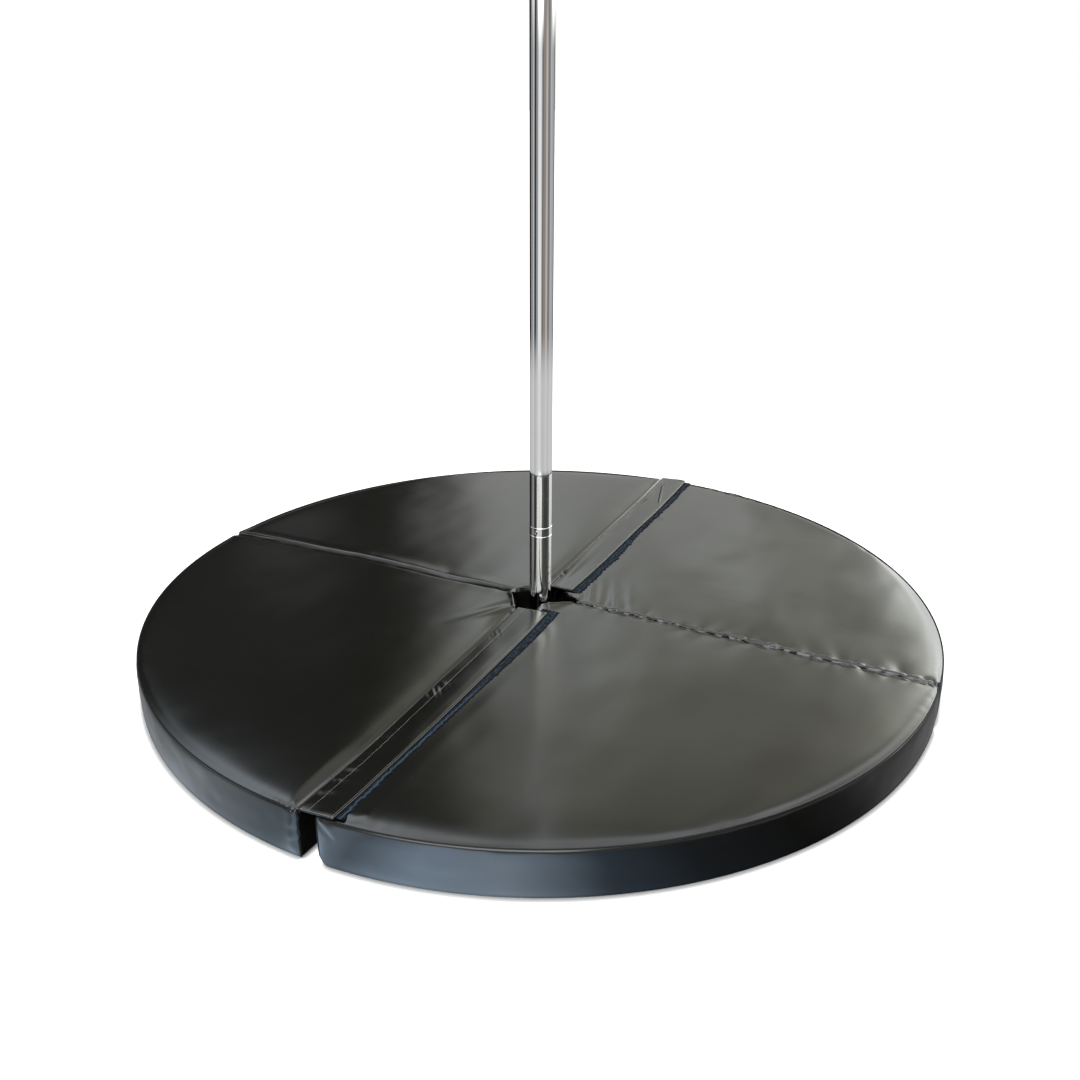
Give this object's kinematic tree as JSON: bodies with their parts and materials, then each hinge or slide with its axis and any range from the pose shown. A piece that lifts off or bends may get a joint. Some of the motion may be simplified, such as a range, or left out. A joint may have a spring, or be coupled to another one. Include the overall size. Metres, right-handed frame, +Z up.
{
  "type": "folding pole crash mat",
  "caption": "Round folding crash mat in padded vinyl quarters, closed by hook-and-loop flaps round a chrome spinning pole on a round foot.",
  "frame": {"origin": "on the pole's axis at floor level, at the middle of the round mat", "axes": "+Z up along the pole; the mat's two halves part along Y, with the closing flaps hinged on the left (-X) half; the halves fold along X, the rear (+Y) quarters over the front (-Y) ones"},
  "size_m": [1.5, 1.4994, 2.4],
  "materials": {
    "vinyl": "satin",
    "piping": "satin",
    "foam": "matte",
    "hook_and_loop": "matte",
    "zip_tape": "matte",
    "zip_metal": "satin",
    "chrome": "polished",
    "steel": "satin",
    "screw_steel": "satin",
    "bronze": "satin",
    "rubber": "matte"
  },
  "bodies": {
    "foot": {"foot_pad": "rubber", "base_plate": "chrome", "jack_screw": "steel"},
    "riser": {"base_tube": "chrome", "jack_nut": "bronze", "spindle_plug": "steel", "spindle": "steel", "spindle_nut": "steel", "lower_bearing_inner_race": "steel", "upper_bearing_inner_race": "steel"},
    "mast": {"lock_ring": "chrome", "lower_tube": "chrome", "joint_spigot": "steel", "joint_screws": "steel", "upper_tube": "chrome", "lower_bearing_outer_race": "steel", "lower_bearing_balls": "steel", "upper_bearing_outer_race": "steel", "upper_bearing_balls": "steel", "bearing_spacer": "steel", "top_collar": "chrome", "head_bush": "bronze"},
    "front_screw": {"front_lock_screw": "screw_steel"},
    "rear_screw": {"rear_lock_screw": "screw_steel"},
    "ceiling_head": {"head_spindle": "steel", "ceiling_cup": "chrome", "ceiling_pad": "rubber"},
    "left_front": {"left_front_cover": "vinyl", "left_front_foam": "foam", "left_front_rim_welt": "piping", "left_front_fold_leaf": "vinyl", "left_front_zip": "zip_tape", "front_flap_tape": "vinyl"},
    "left_rear": {"left_rear_cover": "vinyl", "left_rear_foam": "foam", "left_rear_rim_welt": "piping", "left_rear_fold_leaf": "vinyl", "left_rear_zip": "zip_tape", "rear_flap_tape": "vinyl"},
    "right_front": {"right_front_cover": "vinyl", "right_front_foam": "foam", "right_front_rim_welt": "piping", "right_front_fold_leaf": "vinyl", "right_front_zip": "zip_tape", "front_loop_strip": "hook_and_loop"},
    "right_rear": {"right_rear_cover": "vinyl", "right_rear_foam": "foam", "right_rear_rim_welt": "piping", "right_rear_fold_leaf": "vinyl", "right_rear_zip": "zip_tape", "rear_loop_strip": "hook_and_loop"},
    "front_flap": {"front_flap": "vinyl", "front_hook_strip": "hook_and_loop"},
    "rear_flap": {"rear_flap": "vinyl", "rear_hook_strip": "hook_and_loop"},
    "left_front_slider": {"left_front_zip_slider": "zip_metal"},
    "left_rear_slider": {"left_rear_zip_slider": "zip_metal"},
    "right_front_slider": {"right_front_zip_slider": "zip_metal"},
    "right_rear_slider": {"right_rear_zip_slider": "zip_metal"}
  },
  "joints": [
    {"name": "left_half_pull", "type": "slide", "parent": "foot", "child": "left_front", "axis": [-1, 0, 0], "range_m": [0, 0.6]},
    {"name": "right_half_pull", "type": "slide", "parent": "foot", "child": "right_front", "axis": [1, 0, 0], "range_m": [0, 0.6]},
    {"name": "left_half_fold", "type": "hinge", "parent": "left_front", "child": "left_rear", "pos_m": [-0.4, 0, 0.0894], "axis": [1, 0, 0], "range_deg": [0, 176], "deforming": ["rear_flap", "rear_hook_strip"]},
    {"name": "right_half_fold", "type": "hinge", "parent": "right_front", "child": "right_rear", "pos_m": [0.4, 0, 0.0894], "axis": [1, 0, 0], "range_deg": [0, 176]},
    {"name": "front_flap_open", "type": "hinge", "parent": "left_front", "child": "front_flap", "pos_m": [-0.0235, -0.4, 0.0901], "axis": [0, -1, 0], "range_deg": [0, 180]},
    {"name": "rear_flap_open", "type": "hinge", "parent": "left_rear", "child": "rear_flap", "pos_m": [-0.0235, 0.4, 0.0901], "axis": [0, -1, 0], "range_deg": [0, 180]},
    {"name": "height_adjust", "type": "slide", "parent": "foot", "child": "riser", "axis": [0, 0, 1], "range_m": [0, 0.05]},
    {"name": "pole_spin", "type": "hinge", "parent": "riser", "child": "mast", "pos_m": [0, 0, 0.25], "axis": [0, 0, 1], "continuous": true},
    {"name": "head_swivel", "type": "hinge", "parent": "mast", "child": "ceiling_head", "pos_m": [0, 0, 2.33], "axis": [0, 0, 1], "continuous": true},
    {"name": "front_lock_screw_travel", "type": "slide", "parent": "mast", "child": "front_screw", "axis": [0, 1, 0], "range_m": [0, 0.003]},
    {"name": "rear_lock_screw_travel", "type": "slide", "parent": "mast", "child": "rear_screw", "axis": [0, -1, 0], "range_m": [0, 0.003]},
    {"name": "left_front_zip_travel", "type": "slide", "parent": "left_front", "child": "left_front_slider", "axis": [0, -1, 0], "range_m": [0, 0.55]},
    {"name": "left_rear_zip_travel", "type": "slide", "parent": "left_rear", "child": "left_rear_slider", "axis": [0, 1, 0], "range_m": [0, 0.55]},
    {"name": "right_front_zip_travel", "type": "slide", "parent": "right_front", "child": "right_front_slider", "axis": [0, -1, 0], "range_m": [0, 0.55]},
    {"name": "right_rear_zip_travel", "type": "slide", "parent": "right_rear", "child": "right_rear_slider", "axis": [0, 1, 0], "range_m": [0, 0.55]}
  ],
  "couplings": [
    {"joint": "head_swivel", "follows": "pole_spin", "ratio": -1}
  ]
}
